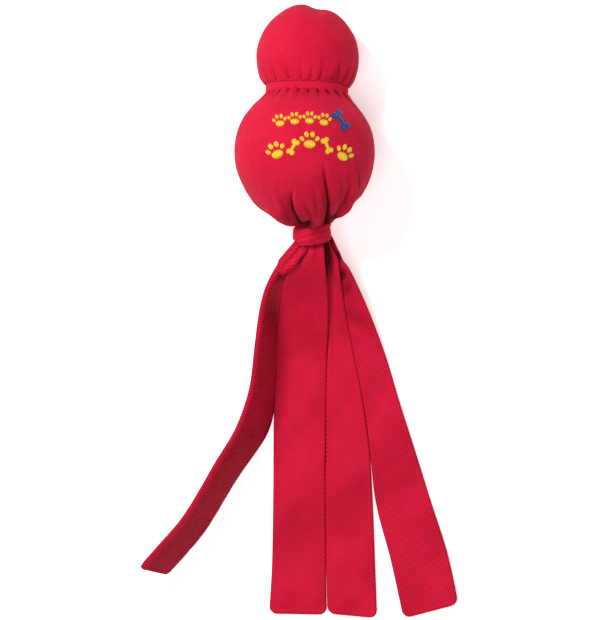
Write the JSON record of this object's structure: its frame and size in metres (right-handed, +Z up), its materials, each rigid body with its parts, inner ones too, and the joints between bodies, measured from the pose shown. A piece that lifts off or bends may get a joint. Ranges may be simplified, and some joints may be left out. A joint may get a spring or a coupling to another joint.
{
  "type": "two-ball dog tug toy with fabric tails",
  "caption": "Fabric-covered dog tug and throw toy: a large ball and a small squeaker ball joined at a gathered waist, with flat folded fabric tails bound at a wrapped neck.",
  "frame": {"origin": "the point where the large ball rests on the floor, centre of its flat patch", "axes": "+Z up from the floor, +Y from the tails towards the head ball, +X across"},
  "size_m": [0.1622, 0.3154, 0.0725],
  "materials": {
    "red_twill": "matte",
    "red_thread": "satin",
    "core_rubber": "matte",
    "felt": "matte",
    "seam_rubber": "matte",
    "light_thread": "satin",
    "dark_thread": "satin",
    "elastic": "matte",
    "squeaker_rubber": "satin",
    "squeaker_plastic": "gloss",
    "reed_metal": "satin",
    "cord": "matte"
  },
  "bodies": {
    "body": {"body_cover": "red_twill", "core_half_a": "core_rubber", "core_half_b": "core_rubber", "felt_panel_a": "felt", "felt_panel_b": "felt", "felt_seam": "seam_rubber", "paw_embroidery": "light_thread", "bone_embroidery": "dark_thread"},
    "waist": {"waist_band": "red_twill", "waist_elastic": "elastic", "waist_stitching": "red_thread"},
    "head": {"head_cover": "red_twill", "squeaker_ball": "squeaker_rubber", "squeaker_cup": "squeaker_plastic", "squeaker_reed": "reed_metal", "squeaker_plug": "squeaker_plastic"},
    "neck": {"neck_rope": "red_twill", "neck_binding": "cord", "neck_wrap": "red_twill", "neck_wrap_stitching": "red_thread"},
    "tail_1_root": {"tail_1_tuck": "red_twill", "tail_1_upper": "red_twill", "tail_1_upper_stitching": "red_thread"},
    "tail_1_tip": {"tail_1_lower": "red_twill", "tail_1_lower_stitching": "red_thread"},
    "tail_2_root": {"tail_2_upper": "red_twill", "tail_2_upper_stitching": "red_thread"},
    "tail_2_tip": {"tail_2_lower": "red_twill", "tail_2_lower_stitching": "red_thread"},
    "tail_3_root": {"tail_3_upper": "red_twill", "tail_3_upper_stitching": "red_thread"},
    "tail_3_tip": {"tail_3_lower": "red_twill", "tail_3_lower_stitching": "red_thread"},
    "tail_4_root": {"tail_4_upper": "red_twill", "tail_4_upper_stitching": "red_thread"},
    "tail_4_tip": {"tail_4_lower": "red_twill", "tail_4_lower_stitching": "red_thread"}
  },
  "joints": [
    {"name": "head_nod", "type": "hinge", "parent": "body", "child": "waist", "pos_m": [0, 0, 0.0356], "axis": [1, 0, 0], "range_deg": [-15, 30]},
    {"name": "head_twist", "type": "hinge", "parent": "waist", "child": "head", "pos_m": [0.0016, 0.0481, 0.0257], "axis": [0.0326, 0.9789, -0.2015], "range_deg": [-35, 35]},
    {"name": "neck_swing", "type": "hinge", "parent": "body", "child": "neck", "pos_m": [0, 0, 0.0356], "axis": [-1, 0, 0], "range_deg": [-12, 25]},
    {"name": "tail_1_swing", "type": "hinge", "parent": "neck", "child": "tail_1_root", "pos_m": [0, -0.05006, 0.02685], "axis": [-1, 0, 0], "range_deg": [-30, 35]},
    {"name": "tail_2_swing", "type": "hinge", "parent": "neck", "child": "tail_2_root", "pos_m": [0, -0.05006, 0.02685], "axis": [-1, 0, 0], "range_deg": [-30, 35]},
    {"name": "tail_3_swing", "type": "hinge", "parent": "neck", "child": "tail_3_root", "pos_m": [0, -0.05006, 0.02685], "axis": [-1, 0, 0], "range_deg": [-30, 35]},
    {"name": "tail_4_swing", "type": "hinge", "parent": "neck", "child": "tail_4_root", "pos_m": [0, -0.05006, 0.02685], "axis": [-1, 0, 0], "range_deg": [-30, 35]},
    {"name": "tail_1_fold", "type": "hinge", "parent": "tail_1_root", "child": "tail_1_tip", "pos_m": [-0.02901, -0.14141, 0.01459], "axis": [-0.3485, 0.2357, 0.9072], "range_deg": [-35, 30]},
    {"name": "tail_2_fold", "type": "hinge", "parent": "tail_2_root", "child": "tail_2_tip", "pos_m": [-0.00261, -0.14975, 0.00123], "axis": [-1, 0, 0], "range_deg": [-45, 60]},
    {"name": "tail_3_fold", "type": "hinge", "parent": "tail_3_root", "child": "tail_3_tip", "pos_m": [0.02233, -0.14975, 0.00124], "axis": [-1, 0, 0], "range_deg": [-45, 60]},
    {"name": "tail_4_fold", "type": "hinge", "parent": "tail_4_root", "child": "tail_4_tip", "pos_m": [0.04536, -0.15178, 0.00124], "axis": [-0.9956, -0.0932, 0], "range_deg": [-45, 60]}
  ]
}
